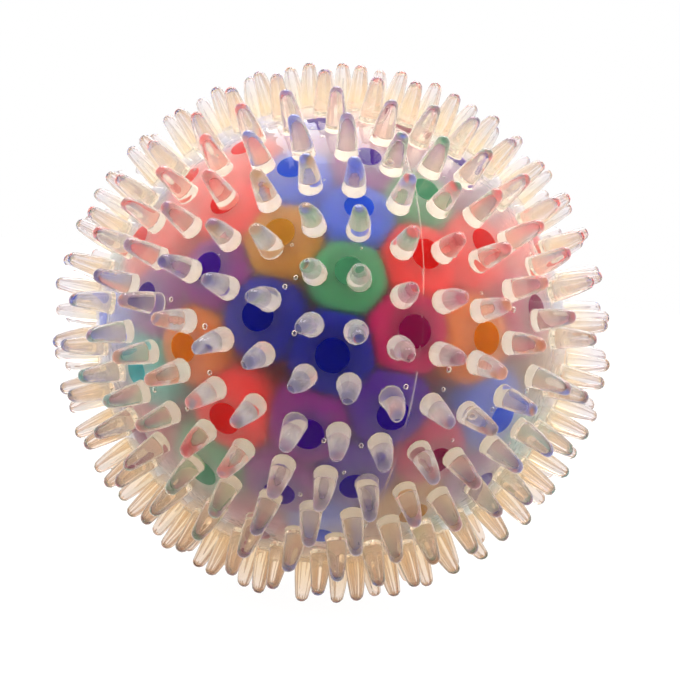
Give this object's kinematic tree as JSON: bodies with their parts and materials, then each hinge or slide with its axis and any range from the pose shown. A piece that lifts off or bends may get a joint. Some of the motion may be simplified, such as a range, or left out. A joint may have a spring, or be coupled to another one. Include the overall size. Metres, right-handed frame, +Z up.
{
  "type": "sensory ball",
  "caption": "Soft clear ball with moulded spikes all over it, filled with round coloured beads that a finger can press and swirl",
  "frame": {"origin": "middle of the ball, which is the middle of the whole object with its spikes", "axes": "+X is the axis along which the two mould halves parted, so the moulding ridge lies in the YZ plane; +Z is up and the filling plug is at -Z; the front that the picture shows faces -Y, turned a little towards -X"},
  "size_m": [0.0896, 0.0906, 0.0866],
  "materials": {
    "clear_shell": "clear, soft, shiny moulded elastomer",
    "clear_plug": "clear, soft moulded elastomer, bonded in place",
    "bead_red": "smooth wet gel bead, coloured through",
    "bead_orange": "smooth wet gel bead, coloured through",
    "bead_gold": "smooth wet gel bead, coloured through",
    "bead_green": "smooth wet gel bead, coloured through",
    "bead_teal": "smooth wet gel bead, coloured through",
    "bead_blue": "smooth wet gel bead, coloured through",
    "bead_navy": "smooth wet gel bead, coloured through",
    "bead_indigo": "smooth wet gel bead, coloured through",
    "bead_purple": "smooth wet gel bead, coloured through",
    "bead_magenta": "smooth wet gel bead, coloured through"
  },
  "bodies": {
    "shell": {"shell": "clear_shell", "fill_plug": "clear_plug"},
    "bead_mass": {"back_beads_red": "bead_red", "back_beads_orange": "bead_orange", "back_beads_gold": "bead_gold", "back_beads_green": "bead_green", "back_beads_teal": "bead_teal", "back_beads_blue": "bead_blue", "back_beads_navy": "bead_navy", "back_beads_indigo": "bead_indigo", "back_beads_purple": "bead_purple", "back_beads_magenta": "bead_magenta", "middle_beads": "bead_red", "deep_beads": "bead_orange", "centre_bead": "bead_gold"},
    "bead_01": {"bead_01_green": "bead_green"},
    "bead_02": {"bead_02_navy": "bead_navy"},
    "bead_03": {"bead_03_navy": "bead_navy"},
    "bead_04": {"bead_04_gold": "bead_gold"},
    "bead_05": {"bead_05_magenta": "bead_magenta"},
    "bead_06": {"bead_06_indigo": "bead_indigo"},
    "bead_07": {"bead_07_purple": "bead_purple"},
    "bead_08": {"bead_08_red": "bead_red"},
    "bead_09": {"bead_09_purple": "bead_purple"},
    "bead_10": {"bead_10_blue": "bead_blue"},
    "bead_11": {"bead_11_green": "bead_green"},
    "bead_12": {"bead_12_red": "bead_red"},
    "bead_13": {"bead_13_red": "bead_red"},
    "bead_14": {"bead_14_orange": "bead_orange"},
    "bead_15": {"bead_15_orange": "bead_orange"},
    "bead_16": {"bead_16_red": "bead_red"},
    "bead_17": {"bead_17_red": "bead_red"},
    "bead_18": {"bead_18_red": "bead_red"},
    "bead_19": {"bead_19_blue": "bead_blue"},
    "bead_20": {"bead_20_red": "bead_red"},
    "bead_21": {"bead_21_purple": "bead_purple"},
    "bead_22": {"bead_22_blue": "bead_blue"},
    "bead_23": {"bead_23_teal": "bead_teal"},
    "bead_24": {"bead_24_magenta": "bead_magenta"},
    "bead_25": {"bead_25_purple": "bead_purple"},
    "bead_26": {"bead_26_magenta": "bead_magenta"},
    "bead_27": {"bead_27_purple": "bead_purple"},
    "bead_28": {"bead_28_purple": "bead_purple"},
    "bead_29": {"bead_29_red": "bead_red"},
    "bead_30": {"bead_30_magenta": "bead_magenta"},
    "bead_31": {"bead_31_blue": "bead_blue"},
    "bead_32": {"bead_32_magenta": "bead_magenta"},
    "bead_33": {"bead_33_purple": "bead_purple"},
    "bead_34": {"bead_34_gold": "bead_gold"},
    "bead_35": {"bead_35_teal": "bead_teal"},
    "bead_36": {"bead_36_green": "bead_green"},
    "bead_37": {"bead_37_green": "bead_green"},
    "bead_38": {"bead_38_gold": "bead_gold"},
    "bead_39": {"bead_39_purple": "bead_purple"},
    "bead_40": {"bead_40_indigo": "bead_indigo"},
    "bead_41": {"bead_41_magenta": "bead_magenta"},
    "bead_42": {"bead_42_blue": "bead_blue"}
  },
  "joints": [
    {"name": "bead_swirl", "type": "hinge", "parent": "shell", "child": "bead_mass", "pos_m": [0, 0, 0], "axis": [0, 0, 1], "continuous": true},
    {"name": "press_01", "type": "slide", "parent": "bead_mass", "child": "bead_01", "axis": [0.2739, 0.9014, -0.3353], "range_m": [0, 0.001], "stiffness_N_per_m": 100, "springref_m": -0.001},
    {"name": "press_02", "type": "slide", "parent": "bead_mass", "child": "bead_02", "axis": [0.3176, 0.9449, 0.0793], "range_m": [0, 0.001], "stiffness_N_per_m": 100, "springref_m": -0.001},
    {"name": "press_03", "type": "slide", "parent": "bead_mass", "child": "bead_03", "axis": [0.5874, 0.7994, -0.126], "range_m": [0, 0.001], "stiffness_N_per_m": 100, "springref_m": -0.001},
    {"name": "press_04", "type": "slide", "parent": "bead_mass", "child": "bead_04", "axis": [0.5197, 0.728, -0.447], "range_m": [0, 0.001], "stiffness_N_per_m": 100, "springref_m": -0.001},
    {"name": "press_05", "type": "slide", "parent": "bead_mass", "child": "bead_05", "axis": [0.0124, 0.9908, -0.1351], "range_m": [0, 0.001], "stiffness_N_per_m": 100, "springref_m": -0.001},
    {"name": "press_06", "type": "slide", "parent": "bead_mass", "child": "bead_06", "axis": [0.0469, 0.9586, 0.281], "range_m": [0, 0.001], "stiffness_N_per_m": 100, "springref_m": -0.001},
    {"name": "press_07", "type": "slide", "parent": "bead_mass", "child": "bead_07", "axis": [0.3467, 0.8499, 0.3968], "range_m": [0, 0.001], "stiffness_N_per_m": 100, "springref_m": -0.001},
    {"name": "press_08", "type": "slide", "parent": "bead_mass", "child": "bead_08", "axis": [0.6328, 0.6741, 0.381], "range_m": [0, 0.001], "stiffness_N_per_m": 100, "springref_m": -0.001},
    {"name": "press_09", "type": "slide", "parent": "bead_mass", "child": "bead_09", "axis": [0.7506, 0.5971, -0.283], "range_m": [0, 0.001], "stiffness_N_per_m": 100, "springref_m": -0.001},
    {"name": "press_10", "type": "slide", "parent": "bead_mass", "child": "bead_10", "axis": [0.2238, 0.7796, -0.5849], "range_m": [0, 0.001], "stiffness_N_per_m": 100, "springref_m": -0.001},
    {"name": "press_11", "type": "slide", "parent": "bead_mass", "child": "bead_11", "axis": [-0.0658, 0.7248, -0.6858], "range_m": [0, 0.001], "stiffness_N_per_m": 100, "springref_m": -0.001},
    {"name": "press_12", "type": "slide", "parent": "bead_mass", "child": "bead_12", "axis": [-0.0317, 0.8999, -0.435], "range_m": [0, 0.001], "stiffness_N_per_m": 100, "springref_m": -0.001},
    {"name": "press_13", "type": "slide", "parent": "bead_mass", "child": "bead_13", "axis": [-0.3095, 0.8064, -0.504], "range_m": [0, 0.001], "stiffness_N_per_m": 100, "springref_m": -0.001},
    {"name": "press_14", "type": "slide", "parent": "bead_mass", "child": "bead_14", "axis": [-0.3108, 0.9408, -0.1351], "range_m": [0, 0.001], "stiffness_N_per_m": 100, "springref_m": -0.001},
    {"name": "press_15", "type": "slide", "parent": "bead_mass", "child": "bead_15", "axis": [0.8057, 0.5784, 0.1275], "range_m": [0, 0.001], "stiffness_N_per_m": 100, "springref_m": -0.001},
    {"name": "press_16", "type": "slide", "parent": "bead_mass", "child": "bead_16", "axis": [0.6844, 0.4889, -0.5409], "range_m": [0, 0.001], "stiffness_N_per_m": 100, "springref_m": -0.001},
    {"name": "press_17", "type": "slide", "parent": "bead_mass", "child": "bead_17", "axis": [0.5716, 0.2851, -0.7694], "range_m": [0, 0.001], "stiffness_N_per_m": 100, "springref_m": -0.001},
    {"name": "press_18", "type": "slide", "parent": "bead_mass", "child": "bead_18", "axis": [0.7597, 0.1907, -0.6217], "range_m": [0, 0.001], "stiffness_N_per_m": 100, "springref_m": -0.001},
    {"name": "press_19", "type": "slide", "parent": "bead_mass", "child": "bead_19", "axis": [0.4392, 0.5489, -0.7112], "range_m": [0, 0.001], "stiffness_N_per_m": 100, "springref_m": -0.001},
    {"name": "press_20", "type": "slide", "parent": "bead_mass", "child": "bead_20", "axis": [0.9265, 0.1501, -0.3451], "range_m": [0, 0.001], "stiffness_N_per_m": 100, "springref_m": -0.001},
    {"name": "press_21", "type": "slide", "parent": "bead_mass", "child": "bead_21", "axis": [0.9228, 0.3631, -0.1287], "range_m": [0, 0.001], "stiffness_N_per_m": 100, "springref_m": -0.001},
    {"name": "press_22", "type": "slide", "parent": "bead_mass", "child": "bead_22", "axis": [0.9976, -0.0015, 0.0698], "range_m": [0, 0.001], "stiffness_N_per_m": 100, "springref_m": -0.001},
    {"name": "press_23", "type": "slide", "parent": "bead_mass", "child": "bead_23", "axis": [0.9131, 0.3157, 0.2581], "range_m": [0, 0.001], "stiffness_N_per_m": 100, "springref_m": -0.001},
    {"name": "press_24", "type": "slide", "parent": "bead_mass", "child": "bead_24", "axis": [0.8328, 0.1701, 0.5269], "range_m": [0, 0.001], "stiffness_N_per_m": 100, "springref_m": -0.001},
    {"name": "press_25", "type": "slide", "parent": "bead_mass", "child": "bead_25", "axis": [0.282, 0.332, -0.9001], "range_m": [0, 0.001], "stiffness_N_per_m": 100, "springref_m": -0.001},
    {"name": "press_26", "type": "slide", "parent": "bead_mass", "child": "bead_26", "axis": [-0.0935, 0.3623, -0.9273], "range_m": [0, 0.001], "stiffness_N_per_m": 100, "springref_m": -0.001},
    {"name": "press_27", "type": "slide", "parent": "bead_mass", "child": "bead_27", "axis": [0.1482, 0.5972, -0.7882], "range_m": [0, 0.001], "stiffness_N_per_m": 100, "springref_m": -0.001},
    {"name": "press_28", "type": "slide", "parent": "bead_mass", "child": "bead_28", "axis": [-0.2797, 0.4873, -0.8273], "range_m": [0, 0.001], "stiffness_N_per_m": 100, "springref_m": -0.001},
    {"name": "press_29", "type": "slide", "parent": "bead_mass", "child": "bead_29", "axis": [-0.6684, 0.5395, -0.5121], "range_m": [0, 0.001], "stiffness_N_per_m": 100, "springref_m": -0.001},
    {"name": "press_30", "type": "slide", "parent": "bead_mass", "child": "bead_30", "axis": [-0.5889, 0.7661, -0.2572], "range_m": [0, 0.001], "stiffness_N_per_m": 100, "springref_m": -0.001},
    {"name": "press_31", "type": "slide", "parent": "bead_mass", "child": "bead_31", "axis": [-0.4621, 0.8464, 0.2647], "range_m": [0, 0.001], "stiffness_N_per_m": 100, "springref_m": -0.001},
    {"name": "press_32", "type": "slide", "parent": "bead_mass", "child": "bead_32", "axis": [-0.198, 0.8678, 0.4557], "range_m": [0, 0.001], "stiffness_N_per_m": 100, "springref_m": -0.001},
    {"name": "press_33", "type": "slide", "parent": "bead_mass", "child": "bead_33", "axis": [-0.474, 0.6814, 0.5577], "range_m": [0, 0.001], "stiffness_N_per_m": 100, "springref_m": -0.001},
    {"name": "press_34", "type": "slide", "parent": "bead_mass", "child": "bead_34", "axis": [-0.1936, 0.6929, 0.6946], "range_m": [0, 0.001], "stiffness_N_per_m": 100, "springref_m": -0.001},
    {"name": "press_35", "type": "slide", "parent": "bead_mass", "child": "bead_35", "axis": [-0.7722, 0.4481, 0.4504], "range_m": [0, 0.001], "stiffness_N_per_m": 100, "springref_m": -0.001},
    {"name": "press_36", "type": "slide", "parent": "bead_mass", "child": "bead_36", "axis": [-0.5215, 0.3746, 0.7667], "range_m": [0, 0.001], "stiffness_N_per_m": 100, "springref_m": -0.001},
    {"name": "press_37", "type": "slide", "parent": "bead_mass", "child": "bead_37", "axis": [0.6343, 0.4536, 0.626], "range_m": [0, 0.001], "stiffness_N_per_m": 100, "springref_m": -0.001},
    {"name": "press_38", "type": "slide", "parent": "bead_mass", "child": "bead_38", "axis": [0.553, 0.0008, 0.8332], "range_m": [0, 0.001], "stiffness_N_per_m": 100, "springref_m": -0.001},
    {"name": "press_39", "type": "slide", "parent": "bead_mass", "child": "bead_39", "axis": [0.3683, 0.6554, 0.6594], "range_m": [0, 0.001], "stiffness_N_per_m": 100, "springref_m": -0.001},
    {"name": "press_40", "type": "slide", "parent": "bead_mass", "child": "bead_40", "axis": [0.106, 0.7995, 0.5912], "range_m": [0, 0.001], "stiffness_N_per_m": 100, "springref_m": -0.001},
    {"name": "press_41", "type": "slide", "parent": "bead_mass", "child": "bead_41", "axis": [0.3451, 0.3617, 0.8661], "range_m": [0, 0.001], "stiffness_N_per_m": 100, "springref_m": -0.001},
    {"name": "press_42", "type": "slide", "parent": "bead_mass", "child": "bead_42", "axis": [0.1329, 0.5349, 0.8344], "range_m": [0, 0.001], "stiffness_N_per_m": 100, "springref_m": -0.001}
  ]
}
